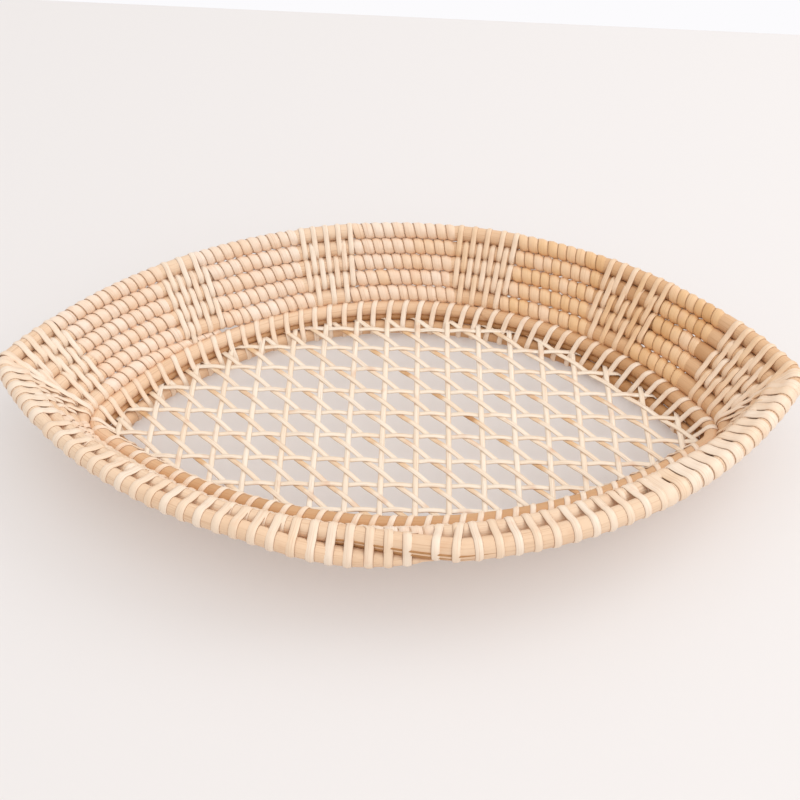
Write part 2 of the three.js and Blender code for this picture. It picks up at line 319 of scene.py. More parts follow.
def rattanMaterial(name, look):
    # Every rattan surface is fibres that run its whole length: fine streaks along "straight", slow
    # changes of tone from one stretch to the next, and a darker line along a strip's edges. On the
    # peel that line is painted shade, the shadow line between one turn and the next; on the cane it
    # is the cane's own browner edge.
    material = bpy.data.materials.new(name)
    material.use_nodes = True
    tree = material.node_tree
    shader = tree.nodes["Principled BSDF"]
    straight = addNode(tree, "ShaderNodeAttribute", {"attribute_name": "straight"})
    tint = addNode(tree, "ShaderNodeAttribute", {"attribute_name": "tint"})
    edge = addNode(tree, "ShaderNodeAttribute", {"attribute_name": "edge"})
    along = straight.outputs["Vector"]
    stretches = addNode(tree, "ShaderNodeMapping", sockets={
        "Vector": along, "Scale": (1 / look["stretch"], grain["sideways"], grain["sideways"])})
    slow = addNode(tree, "ShaderNodeTexNoise", sockets={
        "Vector": stretches.outputs[0], "Scale": 1.0, "Detail": 2.0})
    toneAt = addNode(tree, "ShaderNodeMath", {"operation": "MULTIPLY_ADD"}, {
        0: slow.outputs[0], 1: look["stretchTone"], 2: -look["stretchTone"] / 2})
    tone = addNode(tree, "ShaderNodeMath", {"operation": "ADD", "use_clamp": True}, {
        0: toneAt.outputs[0], 1: tint.outputs["Fac"]})
    base = addNode(tree, "ShaderNodeValToRGB", sockets={
        "Fac": tone.outputs[0]}, stops=look["tones"])
    fibres = addNode(tree, "ShaderNodeMapping", sockets={
        "Vector": along,
        "Scale": (1 / look["fibreLength"], 1 / look["fibre"], 1 / look["fibre"])})
    streak = addNode(tree, "ShaderNodeTexNoise", sockets={
        "Vector": fibres.outputs[0], "Scale": 1.0, "Detail": 3.0, "Roughness": 0.6})
    streakFade = addNode(tree, "ShaderNodeMapRange", sockets={
        "Value": streak.outputs[0], "From Min": grain["streaks"][0],
        "From Max": grain["streaks"][1], "To Max": look["streakDepth"]})
    streaked = addNode(tree, "ShaderNodeMix", {"data_type": "RGBA"}, {
        0: streakFade.outputs[0], 6: base.outputs[0], 7: linear(look["streakColour"])})
    # the darker line along a strip's edges: painted shade on the peel, the cane's own browner edge
    # on the cane
    edgeLine = addNode(tree, "ShaderNodeMapRange", sockets={
        "Value": edge.outputs["Fac"], "From Min": look["edgeFrom"], "From Max": 1.0,
        "To Max": look["edgeDepth"]})
    blotches = addNode(tree, "ShaderNodeTexNoise", sockets={
        "Vector": along, "Scale": 1 / look["blotch"], "Detail": 2.0})
    blotchFade = addNode(tree, "ShaderNodeMapRange", sockets={
        "Value": blotches.outputs[0], "From Min": grain["blotches"][0],
        "From Max": grain["blotches"][1], "To Max": look["blotchDepth"]})
    blotched = addNode(tree, "ShaderNodeMix", {"data_type": "RGBA"}, {
        0: blotchFade.outputs[0], 6: streaked.outputs[2], 7: linear(look["blotchColour"])})
    edged = addNode(tree, "ShaderNodeMix", {"data_type": "RGBA"}, {
        0: edgeLine.outputs[0], 6: blotched.outputs[2], 7: linear(look["edgeColour"])})
    rough = addNode(tree, "ShaderNodeMapRange", sockets={
        "Value": streak.outputs[0], "To Min": look["rough"][0], "To Max": look["rough"][1]})
    bump = addNode(tree, "ShaderNodeBump", sockets={
        "Height": streak.outputs[0], "Strength": look["bump"], "Distance": grain["bumpDepth"]})
    tree.links.new(edged.outputs[2], shader.inputs["Base Color"])
    tree.links.new(rough.outputs[0], shader.inputs["Roughness"])
    tree.links.new(bump.outputs[0], shader.inputs["Normal"])
    shader.inputs["IOR"].default_value = grain["ior"]
    shader.inputs["Coat Weight"].default_value = look["coat"]
    shader.inputs["Coat Roughness"].default_value = grain["coatRough"]
    return material


# Rattan peel: the outer skin of the palm split into strip. Its hard skin keeps a soft gloss.
peelLook = {
    "tones": [(0.0, "#FBE8D6"), (0.35, "#F7D9BD"), (0.7, "#EFC594"), (1.0, "#DCA96E")],
    "stretch": 24,  # about one turn round the rod
    "stretchTone": 0.5,
    "fibre": 0.55,  # real fibres are 0.1 to 0.2 mm, drawn coarser so that they show
    "fibreLength": 22,
    "streakColour": "#C98F5C", "streakDepth": 0.35,
    # the dark edge line is painted shade, on the wraps and the stitches alike: the shadow line
    # between one turn and the next
    "edgeFrom": 0.86, "edgeColour": "#A86A38", "edgeDepth": 0.75,
    "blotch": 9, "blotchColour": "#EDBE9A", "blotchDepth": 0.45,
    "rough": (0.3, 0.46), "bump": 0.35, "coat": 0.3,
}
peelSatin = rattanMaterial("rattan peel, split, natural", peelLook)

# The strip of the stitches and the lashing is the same peel from a creamier batch
stitchSatin = rattanMaterial("rattan peel, split thin, cream", {
    **peelLook, "tones": [(0.0, "#FBE9D5"), (0.35, "#F7DCC0"), (0.7, "#EDC496"), (1.0, "#D8A46C")]})

# Peeled rattan rod: the bare core under the skin, sanded. Open pores show as short dark lines.
rodSatin = rattanMaterial("rattan core, peeled and sanded", {
    "tones": [(0.0, "#F6DDC2"), (0.4, "#EFCBA8"), (0.75, "#DDB083"), (1.0, "#B98450")],
    "stretch": 60, "stretchTone": 0.35,
    "fibre": 0.6, "fibreLength": 30,
    "streakColour": "#B9824F", "streakDepth": 0.4,
    "edgeFrom": 2.0, "edgeColour": "#A86A38", "edgeDepth": 0.0,
    "blotch": 14, "blotchColour": "#D9A57A", "blotchDepth": 0.4,
    "rough": (0.42, 0.6), "bump": 0.4, "coat": 0.05,
})

# Split cane: narrow peel of even width for weaving, paler than the wider peel.
caneSatin = rattanMaterial("rattan cane, split, natural", {
    "tones": [(0.0, "#FAEDDC"), (0.4, "#F7E3CB"), (0.75, "#E6BF92"), (1.0, "#C28C58")],
    "stretch": 38, "stretchTone": 0.75,
    "fibre": 0.5, "fibreLength": 26,
    "streakColour": "#C08A58", "streakDepth": 0.45,
    "edgeFrom": 0.8, "edgeColour": "#C69566", "edgeDepth": 0.2,
    "blotch": 14, "blotchColour": "#D79A68", "blotchDepth": 0.6,
    "rough": (0.36, 0.52), "bump": 0.3, "coat": 0.1,
})

peelStep = modelStrip("peelStep", thickness=0.3, crown=0.55, shoulder=0.8)
stitchStep = modelStrip("stitchStep", thickness=0.4, crown=0.35, shoulder=0.8)
caneStep = modelStrip("caneStep", thickness=0.4, crown=0.07, shoulder=0.88)
rodStep = modelRod("rodStep", sides=16)
print("materials and straight steps made")


def addToTray(piece, material, slotName, *nodes):
    piece.data.materials.clear()
    piece.data.materials.append(material)
    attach(piece, "root")
    if nodes:
        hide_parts(*nodes)
    return piece


# Camera, at the photograph's viewing angle

view = {
    "target": (-2.1, 22.4, 9.2),  # from the middle between the floor's tips
    "distance": 661, "elevation": 44.2, "yaw": 1.1, "roll": 0.15,
    "lens": 58.5, "sensorWidth": 36,
    "near": 0.01, "far": 50,  # metres
}
elevation, yaw, roll = (math.radians(view[name]) for name in ("elevation", "yaw", "roll"))
back = np.array([math.sin(yaw) * math.cos(elevation), -math.cos(yaw) * math.cos(elevation),
                 math.sin(elevation)])
level = unit(np.cross(-back, [0, 0, 1]))
upright = np.cross(level, -back)
right = math.cos(roll) * level + math.sin(roll) * upright
upward = -math.sin(roll) * level + math.cos(roll) * upright
eye = (floorMiddle + view["target"] + back * view["distance"]) * mm
bpy.ops.object.camera_add(location=eye)
camera = bpy.context.object
camera.name = "photoCamera"
camera.matrix_world = facing(right, upward, back, eye)
camera.data.sensor_width = view["sensorWidth"]
camera.data.lens = view["lens"]
camera.data.clip_start = view["near"]
camera.data.clip_end = view["far"]
bpy.context.scene.camera = camera
print("camera set")


# The two rings under and over the floor's edge

rings = {
    "footHalfLength": 144.5, "footTipRadius": 7,
    "footHeight": 4.4, "footRadius": 3.6,  # bare rod, under the strip and the folded cane
    "clampReach": 11.0, "clampLean": 36, "clampTipReach": 7.5, "clampTipRadius": 12,
    "clampRadius": 3.9,
    "cadFootMiddle": 3.603,  # of the foot rod in the CAD model, from which the clamp rod is set
    "fillerRadius": 1.8,  # a thin rod that packs the groove between the two; its dark colour is painted shade in that groove
    "fillerShare": 0.55,  # of the way from the foot rod out to the clamp rod
    "scarf": 26,  # length over which a ring's two ends lie on each other
    "scarfOverlap": 0.07,  # quadrants that each end runs on past the join
    "scarfEnd": 0.25,  # of the radius, at a thin end
    "scarfRise": 0.95,  # of what an end lost in thickness, by which it lies lower or higher
    "footScarfAt": 2.62, "clampScarfAt": 0.815, "fillerScarfAt": 1.7,
    "uneven": 0.02, "unevenLength": 35,  # of the radius, and how slowly it changes
    # the foot rod and the filler rod are coloured darker than the clamp rod: painted shade, for the
    # shade they lie in under it
    "footShadeTint": 0.35, "clampTint": 0.15, "fillerShadeTint": 0.7,
    "frontTint": 0.5,  # the rods are darker along the front
    "step": 2.0, "grainRange": 500,
}
fineSteps = 3000  # points round an outline, from which evenly spaced ones are picked
clampSetOut = rings["clampReach"] * math.sin(math.radians(rings["clampLean"]))
clampRise = rings["clampReach"] * math.cos(math.radians(rings["clampLean"]))
clampHeight = rings["cadFootMiddle"] + clampRise
footOutline = LeafOutline(rings["footHalfLength"], footBackWidth, footFrontWidth,
                          rings["footTipRadius"])
clampOutline = LeafOutline(rings["footHalfLength"] + rings["clampTipReach"],
                           footBackWidth + clampSetOut, footFrontWidth + clampSetOut,
                           rings["clampTipRadius"])

# Painted shade towards the right back, where the wall's inside faces away from the key light, and
# the rods' darker tone along the front
toneByPlace = {
    "pale": 0.18, "golden": 0.55,
    "across": (-60, 200), "back": (-60, 110),  # where the golden tone begins, and over how far
    "front": 60,  # how far in front of the middle the front's own tone is full
}


def paintedSideShade(point):
    # painted shade: towards the right back, whose inside faces away from the key light, the rattan
    # is coloured darker and more golden
    (left, width), (near, depth) = toneByPlace["across"], toneByPlace["back"]
    toRight = smooth((point[..., 0] - left) / width)
    return toneByPlace["pale"] + toneByPlace["golden"] * toRight * smooth((point[..., 1] - near) / depth)


def frontShare(point):
    return smooth(-point[:, 1] / toneByPlace["front"])


def onRing(outline, height, places):
    point, normal = outline.at(places)
    return (np.column_stack([point, np.full(len(point), height)]) + floorMiddle,
            np.column_stack([normal, np.zeros(len(normal))]))


def evenly(line, spacing):
    # numbers at even spacing along a line of points
    travelled = lengthsAlong(line)
    steps = max(2, int(round(travelled[-1] / spacing)))
    return np.linspace(0, travelled[-1], steps + 1), travelled


def makeRing(name, outline, height, radius, scarfAt, tint):
    # A rod bent round once, with its two ends thinned and laid one on the other
    overlap, thinEnd = rings["scarfOverlap"], rings["scarfEnd"]
    places = np.linspace(scarfAt - overlap, scarfAt + (4 + overlap), fineSteps)
    line, _ = onRing(outline, height, places)
    stops, travelled = evenly(line, rings["step"])
    line = pointsAt(stops, travelled, line)
    whole = smooth(np.minimum(stops, stops[-1] - stops) / rings["scarf"])
    uneven = 1 + rings["uneven"] * wander(stops[-1], rings["unevenLength"], 1)(stops)
    thick = radius * (thinEnd + (1 - thinEnd) * whole) * uneven
    lowOrHigh = np.where(stops < stops[-1] / 2, -1, 1)
    line[:, 2] += lowOrHigh * (radius - thick).clip(0) * rings["scarfRise"]
    ring = straightLength(rodStep, len(line) - 1, name)
    # with the painted shade towards the right back, and the darker tone along the front
    tint = tint + paintedSideShade(line) + rings["frontTint"] * frontShare(line)
    grainStart = luck.uniform(0, rings["grainRange"])
    return bendAlong(ring, line, straightUp(line), thick, thick, tint, grainStart)


footRod = makeRing("footRod", footOutline, rings["footHeight"], rings["footRadius"],
                   rings["footScarfAt"], rings["footShadeTint"])
addToTray(footRod, rodSatin, "bare_rod", "foot_ring")
clampRod = makeRing("clampRod", clampOutline, clampHeight, rings["clampRadius"],
                    rings["clampScarfAt"], rings["clampTint"])
addToTray(clampRod, rodSatin, "bare_rod", "clamp_ring")
fillerSetOut = clampSetOut * rings["fillerShare"]
fillerOutline = LeafOutline(rings["footHalfLength"] + rings["clampTipReach"] * rings["fillerShare"],
                            footBackWidth + fillerSetOut, footFrontWidth + fillerSetOut,
                            (rings["footTipRadius"] + rings["clampTipRadius"]) / 2)
fillerRod = makeRing("fillerRod", fillerOutline, (rings["footHeight"] + clampHeight) / 2,
                     rings["fillerRadius"], rings["fillerScarfAt"], rings["fillerShadeTint"])
addToTray(fillerRod, rodSatin, "bare_rod")
print("rings made")


# The wall: one rod coiled upwards. Each turn goes from the place "from" to 4 quadrants on.

wall = {
    "rimHalfLength": 190, "rimHalfWidth": 112.2, "rimTipRadius": 10,
    "rimRise": 30.5, "rimShift": (-2.7, 7.3),
    "rodDiameter": 8.3,  # over its strip
    "rowClearance": 0.8, "seatClearance": 0.3,  # as in the CAD model
    "clampRadius": 3.7,  # of the CAD model's clamp rod
    "rows": 5,  # all round; one more lies over the stretch from the start to the end
    "start": 1.36, "end": 3.1, "taper": 0.28, "endTaper": 0.16, "endRadius": 0.8,
    # how far the front's rows lie inside the straight way up, at even shares of it
    "frontBow": (0, -3.9, -1.9, 0.5, 2.5, 4.9, 0),
    "frontFullness": 1.35,  # over 1, the bow is full over more of the front
    "frontRimBow": 1.8,
    # the tail slips down outside the row below it
    "tailSlipStart": 2.75, "tailSlipEnd": 2.95, "tailSlip": 6.7, "tailSetOut": 4,
    "underTail": (3.0, 3.1),  # the row under it is bare here, and the tail from the first on
    "from": 15 / 11,
    "peel": 0.6,  # how much of the radius is the strip wound on the rod
    "bareInset": 0.12,  # how far a row that is only stitched stays inside its strip's surface
    "tight": 0.9,  # how much thicker than in the CAD model a row may be, to touch the next
    "press": 0.3,  # how far two rows are meant to sink into each other's strip
    "swellFrom": 1, "swellOver": 2,  # it is thickened so from this radius on, in full this far on
    "leastBare": 0.45,  # radius of the bare rod under its strip at the thin ends
    "stride": 0.004,  # quadrants, between two points of the coil's line
    "step": 2.6, "tint": 0.1, "tintDrift": 0.12, "driftLength": 60, "grainStart": 3000,
}
rimOutline = LeafOutline(wall["rimHalfLength"], wall["rimHalfWidth"], wall["rimHalfWidth"],
                         wall["rimTipRadius"])


def wayUp(places):
    base, normal = clampOutline.at(places)
    run = rimOutline.at(places)[0] + wall["rimShift"] - base
    start = np.column_stack([base, np.full(len(base), clampHeight)]) + floorMiddle
    step = np.column_stack([run, np.full(len(run), wall["rimRise"])])
    out = (run * normal).sum(1)
    length = np.hypot(out, wall["rimRise"])
    inward = np.column_stack([-normal * (wall["rimRise"] / length)[:, None], out / length])
    return start, step, length, inward


def roomOf(turns, places, length):
    # how far up the way a row's room begins, how large it is, and how much there is of the one
    # more row between the rod's start and its end
    swell = np.clip((places - wall["start"]) / wall["taper"], 0, 1)
    fade = np.clip((wall["end"] - places) / wall["endTaper"], 0, 1)
    extra = np.minimum(swell, fade)
    lowest = wall["clampRadius"] + wall["seatClearance"] - wall["rowClearance"] / 2
    highest = length + (wall["rodDiameter"] + wall["rowClearance"]) / 2
    pitch = (highest - lowest) / (wall["rows"] + extra)
    starting = places < (wall["start"] + wall["end"]) / 2
    below = np.full(len(places), lowest)
    room = np.zeros(len(places))
    for row in range(wall["rows"] + 1):
        isExtra = starting if row == 0 else (~starting if row == wall["rows"] else False)
        here = np.where(isExtra, pitch * extra, pitch)
        below = below + np.where(row < turns, here, 0)
        room = np.where(row == turns, here, room)
    return below, room, extra


def offTheWay(isTail, places, share, extra):
    # how far a row lies inside the straight way up, and how far its tail slips back along it
    fullness = wall["frontFullness"] * np.sin((places - 2) * math.pi / 2)
    inFront = np.clip(fullness, 0, 1) * (places < 4)
    knots = np.linspace(0, 1, len(wall["frontBow"]))
    rimBow = wall["frontRimBow"] * extra * isTail
    bow = inFront * (np.interp(share, knots, wall["frontBow"]) + rimBow)
    slipRun = wall["tailSlipEnd"] - wall["tailSlipStart"]
    slip = smooth((places - wall["tailSlipStart"]) / slipRun) * isTail
    return bow * (1 - slip) - wall["tailSetOut"] * slip, slip ** 2 * wall["tailSlip"]


def rowAt(turns, places):
    # the rod's middle and its radius over the peel
    places = np.atleast_1d(np.asarray(places, float))
    turns = np.broadcast_to(turns, places.shape)
    start, step, length, inward = wayUp(places)
    below, room, extra = roomOf(turns, places, length)
    share = (below + room / 2) / length
    radius = np.minimum(room - wall["rowClearance"], wall["rodDiameter"]) / 2
    touching = np.clip((room + wall["press"]) / 2 - radius, 0, wall["tight"])
    radius = radius + touching * smooth((radius - wall["swellFrom"]) / wall["swellOver"])
    bow, slip = offTheWay(turns == wall["rows"], places, share, extra)
    share = share - slip / length
    return start + step * share[:, None] + inward * bow[:, None], radius


def coilAt(q):
    # q counts quadrants on from the right tip, 4 to a turn
    turns = np.clip(np.floor((q - wall["from"]) / 4), 0, wall["rows"]).astype(int)
    return rowAt(turns, q - 4 * turns)


coilQ = np.arange(wall["from"], 4 * wall["rows"] + wall["end"], wall["stride"])
coilLine, coilRadius = coilAt(coilQ)
kept = coilRadius >= wall["endRadius"]
coilQ, coilLine, coilRadius = coilQ[kept], coilLine[kept], coilRadius[kept]
coilRun = lengthsAlong(coilLine)


def onCoil(s):
    # s is the length of rod from its start
    return pointsAt(s, coilRun, coilLine), np.interp(s, coilRun, coilRadius)


def runAt(turn, at):
    # the length of rod from its start to a place on one of its turns
    return np.interp(4 * turn + at, coilQ, coilRun)


# Long stitches: strip wound round two rows at once

stitches = {
    "width": 3.1,
    "spacing": 7.4,
    "groups": [(1.385, 1.465), (1.68, 2.30), (2.45, 2.55), (2.74, 2.83), (3.05, 3.14),
               (3.36, 3.46), (3.68, 4.34), (4.485, 4.60), (4.785, 4.89), (5.10, 5.19)],
    # along the front the rim is stitched all the way: from, to, width and spacing
    "rimGroups": {
        5: [(1.385, 1.465, 3.1, 7.4), (1.68, 1.97, 3.4, 7.4), (2.0, 2.36, 4.9, 6.0),
            (2.375, 3.035, 4.3, 8.4)],
        4: [(3.065, 3.42, 3.9, 8.4), (3.435, 3.93, 6.5, 7.0), (3.95, 4.34, 3.4, 7.4),
            (4.485, 4.60, 3.1, 7.4), (4.785, 4.89, 3.1, 7.4), (5.10, 5.19, 3.1, 7.4)],
    },
    "rimChange": 3.02,  # the rim is row 5 up to here and row 4 beyond
    # of one stitch's room: how far the rod is bare past a group's ends, how unevenly the
    # stitches lie, and how far the last loop moves on
    "bareBefore": 0.1, "bareAfter": 0.45, "jitter": 0.05, "lastRoom": 0.35,
    "leastRow": 1.5,  # radius of the thinnest rod that is stitched
    "leastLoop": 0.5,  # radius of the smallest loop
    "sag": 0.35,  # how far the strip bends inwards between its two rods
    "tint": -0.12, "frontTint": 0.16, "tintSpread": (-0.15, 0.19), "grainRange": 3000,
}
# How the place square below another is found: by rounds of small strides, within reach
squaring = {"nudge": 0.004, "rounds": 6, "leastAhead": 20, "stride": 0.03, "reach": 0.14}
groupSteps = 400  # points along a group, from which evenly spaced ones are picked


def squareBelow(turn, places):
    # the places on the row below that lie square to a row's own places
    places = np.atleast_1d(np.asarray(places, float))
    nudge, stride, reach = squaring["nudge"], squaring["stride"], squaring["reach"]
    upper = rowAt(turn, places)[0]
    along = unit(rowAt(turn, places + nudge)[0] - rowAt(turn, places - nudge)[0])
    below = places.copy()
    for _ in range(squaring["rounds"]):
        lower = rowAt(turn - 1, below)[0]
        step = rowAt(turn - 1, below + nudge)[0] - rowAt(turn - 1, below - nudge)[0]
        off = ((upper - lower) * along).sum(1)
        ahead = (step / (2 * nudge) * along).sum(1)
        below = below + np.clip(off / np.maximum(ahead, squaring["leastAhead"]), -stride, stride)
    return places + np.clip(below - places, -reach, reach)


def placesAlong(turn, first, last, spacing):
    # stitches at even spacing, set over by half of it from one row to the next
    fine = np.linspace(first, last, groupSteps)
    radius = rowAt(turn - 1, fine)[1]
    travelled = lengthsAlong(rowAt(turn, fine)[0])
    count = max(2, int(round(travelled[-1] / spacing)))
    share = (np.arange(count + 1 - turn % 2) + 0.5 * (turn % 2)) / count
    places = np.interp(share * travelled[-1], travelled, fine)
    wideEnough = np.interp(places, fine, radius) > stitches["leastRow"]
    return places[wideEnough], spacing / travelled[-1] * (last - first)


# For each upper row, its groups of stitch places and the room each stitch takes. The groups of
# the lower rows lie square under those of the rim.
spans = {turn: [(first, last, spacing) for first, last, _, spacing in groups]
         for turn, groups in stitches["rimGroups"].items()}
for first, last in stitches["groups"]:
    top = wall["rows"] if (first + last) / 2 < stitches["rimChange"] else wall["rows"] - 1
    ends = np.array([first, last])
    for turn in range(top, 1, -1):
        ends = squareBelow(turn, ends)
        spans.setdefault(turn - 1, []).append((*ends, stitches["spacing"]))
stitchPlaces = {turn: [placesAlong(turn, *span) for span in spans[turn]] for turn in spans}

# A row is as thick bare, where it is only stitched, as it is wrapped elsewhere
bareStretches = {turn: [] for turn in range(wall["rows"] + 1)}
for turn, groups in stitchPlaces.items():
    for places, room in groups:
        ends = np.array([places[0] - stitches["bareBefore"] * room,
                         places[-1] + stitches["bareAfter"] * room])
        bareStretches[turn].append(tuple(ends))
        bareStretches[turn - 1].append(tuple(squareBelow(turn, ends)))
bareStretches[wall["rows"] - 1].append(wall["underTail"])
stops = np.linspace(0, coilRun[-1], int(coilRun[-1] / wall["step"]))
line, radius = onCoil(stops)
stitched = np.zeros(len(stops), bool)
for turn, stretches in bareStretches.items():
    for first, last in stretches:
        stitched |= (stops >= runAt(turn, first)) & (stops <= runAt(turn, last))
inset = np.where(stitched, wall["bareInset"], wall["peel"])
bare = np.maximum(radius - inset, wall["leastBare"])
drift = wander(coilRun[-1], wall["driftLength"], wall["tintDrift"])
wallRod = straightLength(rodStep, len(line) - 1, "wallRod")
# with the painted shade towards the right back
bendAlong(wallRod, line, straightUp(line), bare, bare,
          paintedSideShade(line) + wall["tint"] + drift(stops), wall["grainStart"])
addToTray(wallRod, rodSatin, "wrapped_rod", "wall_coil")
print("wall rod made,", round(coilRun[-1]), "mm long")


# Its stations in degrees round a rod: 0 faces the inside of the tray, 90 up, 180 the outside
loop = {
    "under": np.linspace(-90, 0, 5)[1:], "over": np.linspace(0, 180, 9),
    "outside": np.linspace(180, 270, 5),
    "leaves": (3, 12),  # the stations where the strip leaves one rod for the other
    "between": (0.25, 0.5, 0.75),  # shares of the way across
    "mostLean": 0.9, "leastSquare": 0.4,  # limits for rods that lie oddly to each other
}


def loopRound(upper, upperRadius, lower, lowerRadius, outside):
    # A taut loop round two rods, from under the lower one up the inside, over the upper one and
    # down the outside: for each station the point and the way out, square to the rods.
    rodWay = unit(np.cross([0, 0, 1], outside))
    up = upper - lower
    apart = np.linalg.norm(up)
    up = up / apart
    outside = unit(np.cross(rodWay, up))
    thinner = np.clip((lowerRadius - upperRadius) / apart, -loop["mostLean"], loop["mostLean"])
    lean = math.asin(thinner)
    points, outs = [], []
    for centre, radius, angles in (
        (lower, lowerRadius, loop["under"]),
        (upper, upperRadius, loop["over"]),
        (lower, lowerRadius, loop["outside"]),
    ):
        for angle in np.radians(angles):
            tilt = angle + lean * math.cos(angle)
            way = -outside * math.cos(tilt) + up * math.sin(tilt)
            square = way - rodWay * np.dot(way, rodWay)
            points.append(centre + way * radius / max(np.linalg.norm(square), loop["leastSquare"]))
            outs.append(unit(square))
    full, fullOut = [], []
    for i, (point, way) in enumerate(zip(points, outs)):
        full.append(point)
        fullOut.append(way)
        if i in loop["leaves"]:
            for t in loop["between"]:
                middle = point * (1 - t) + points[i + 1] * t
                full.append(middle - way * stitches["sag"] * math.sin(math.pi * t))
                fullOut.append(way)
    return np.array(full), np.array(fullOut)


def stitchRun(name, centres, places, room, width, tint, slideFrom=0.72):
    # One strip wound round two rods, with a loop at each place. From the share slideFrom of a
    # loop on, down the outside, it moves on to the next.
    ahead = np.append(np.diff(places), room * stitches["lastRoom"])
    jitter = stitches["jitter"]
    line, outs, tints = [], [], []
    for start, gap in zip(places, ahead):
        start = start + luck.uniform(-jitter, jitter) * gap
        thisLoop, way = loopRound(*centres(start))
        nextLoop, nextWay = loopRound(*centres(start + gap))
        share = np.linspace(0, 1, len(thisLoop) + 1)[:-1]
        slide = smooth((share - slideFrom) / (1 - slideFrom))[:, None]
        line.append(thisLoop * (1 - slide) + nextLoop * slide)
        outs.append(unit(way * (1 - slide) + nextWay * slide))
        tints.append(np.full(len(thisLoop), tint + luck.uniform(*stitches["tintSpread"])))
    line, outs, tints = np.concatenate(line), np.concatenate(outs), np.concatenate(tints)
    strip = straightLength(stitchStep, len(line) - 1, name)
    return bendAlong(strip, line, outs, width, 1.0, tints,
                     luck.uniform(0, stitches["grainRange"]))


def rowPair(turn):
    def centres(at):
        upper, upperRadius = rowAt(turn, at)
        lower, lowerRadius = rowAt(turn - 1, squareBelow(turn, at))
        outside = np.append(rimOutline.at(at)[1][0], 0)
        return (upper[0], max(upperRadius[0] - wall["bareInset"], stitches["leastLoop"]),
                lower[0], max(lowerRadius[0] - wall["bareInset"], stitches["leastLoop"]), outside)
    return centres


for turn, groups in stitchPlaces.items():
    strips = []
    for places, room in groups:
        middlePlace = places[len(places) // 2]
        middle, _ = rowAt(turn, middlePlace)
        width = next((wide for low, high, wide, _ in stitches["rimGroups"].get(turn, [])
                      if low <= middlePlace <= high), stitches["width"])
        # with the painted shade towards the right back
        tint = paintedSideShade(middle) + stitches["tint"] + stitches["frontTint"] * frontShare(middle)
        strips.append(stitchRun("stitch", rowPair(turn), places, room, width, float(tint[0])))
    addToTray(joinPieces(strips, f"longStitches{turn}"), stitchSatin, "wrapped_rod")
print("long stitches made")


# The rod's tail is split: thin splints run on in the groove between it and the row it lies on
splints = {
    "from": 2.9, "ends": (3.1, 3.13, 3.17),  # places
    "angles": (20, 42, 68),  # degrees up from the row's outside
    "radius": 0.42, "pointRadius": 0.1, "taper": 0.1, "stride": 0.006,
    "sunk": 0.2,  # into the rod
    "tint": 1.1, "grainApart": 90,  # each has fibres of its own
}
thin = []
for last, angle in zip(splints["ends"], splints["angles"]):
    along = np.arange(splints["from"], last, splints["stride"])
    middle, radius = rowAt(wall["rows"] - 1, along)
    _, step, _, inward = wayUp(along)
    angle = math.radians(angle)
    way = unit(step) * math.sin(angle) - inward * math.cos(angle)
    thick = splints["radius"] * smooth((last - along) / splints["taper"]) + splints["pointRadius"]
    splint = straightLength(rodStep, len(along) - 1, "splint")
    line = middle + way * (radius - splints["sunk"])[:, None]
    thin.append(bendAlong(splint, line, way, thick, thick, np.full(len(along), splints["tint"]),
                          splints["grainApart"] * angle))
addToTray(joinPieces(thin, "tailSplints"), rodSatin, "wrapped_rod")
print("tail splints made")


# Close wraps: strip wound round one row, turn against turn

wraps = {
    "pitch": 5.5,  # along the rod, from one turn to the next
    "cover": 0.955,  # of the pitch that the strip takes: the rest is the dark line between turns
    "stepsPerTurn": 16,
    "tilt": 3.5,  # degrees: the strip's far edge stands proud of the next turn
    "widthSpread": (0.88, 1.12), "tintSpread": (-0.18, 0.2),
    "leastRun": 0.9,  # of the pitch: a shorter stretch stays bare
    "nudge": 0.5,  # to each side, to find which way the rod goes
    "grainRange": 4000,
}


def wrapRun(name, first, last):
    turns = max(1, int(round((last - first) / wraps["pitch"])))
    widths = np.array([luck.uniform(*wraps["widthSpread"]) for _ in range(turns)])
    edges = first + (last - first) * np.concatenate([[0], np.cumsum(widths)]) / widths.sum()
    k = np.arange(turns * wraps["stepsPerTurn"] + 1)
    share = k / wraps["stepsPerTurn"]
    s = np.interp(share, np.arange(turns + 1), edges)
    point, radius = onCoil(s)
    ahead, _ = onCoil(s + wraps["nudge"])
    behind, _ = onCoil(s - wraps["nudge"])
    along = unit(ahead - behind)
    side = unit(np.cross([0, 0, 1], along))
    up = np.cross(along, side)
    angle = 2 * math.pi * share - math.pi / 2
    way = up * np.sin(angle)[:, None] + side * np.cos(angle)[:, None]
    bareRadius = np.maximum(radius - wall["peel"], wall["leastBare"])
    line = point + way * bareRadius[:, None]
    tilt = math.radians(wraps["tilt"])
    tilted = way * math.cos(tilt) - along * math.sin(tilt)
    pitch = np.interp(share, np.arange(turns) + 0.5, np.diff(edges))
    tints = [luck.uniform(*wraps["tintSpread"]) for _ in range(turns + 1)]
    # with the painted shade towards the right back
    tint = paintedSideShade(point) + np.interp(share, np.arange(turns + 1), tints)
    strip = straightLength(peelStep, len(line) - 1, name)
    return bendAlong(strip, line, tilted, pitch * wraps["cover"], 1.0, tint,
                     luck.uniform(0, wraps["grainRange"]))


for turn in range(wall["rows"] + 1):
    highEnd = wall["underTail"][0] if turn == wall["rows"] else wall["from"] + 4
    strips = []
    at = wall["from"]
    for first, last in sorted(bareStretches[turn]) + [(highEnd, highEnd)]:
        start, end = runAt(turn, at), runAt(turn, min(first, highEnd))
        if end - start > wraps["pitch"] * wraps["leastRun"]:
            strips.append(wrapRun("wrap", start, end))
        at = max(at, last)
    addToTray(joinPieces(strips, f"closeWraps{turn + 1}"), peelSatin, "wrapped_rod")
print("close wraps made")


# Lashing that ties the two rings together

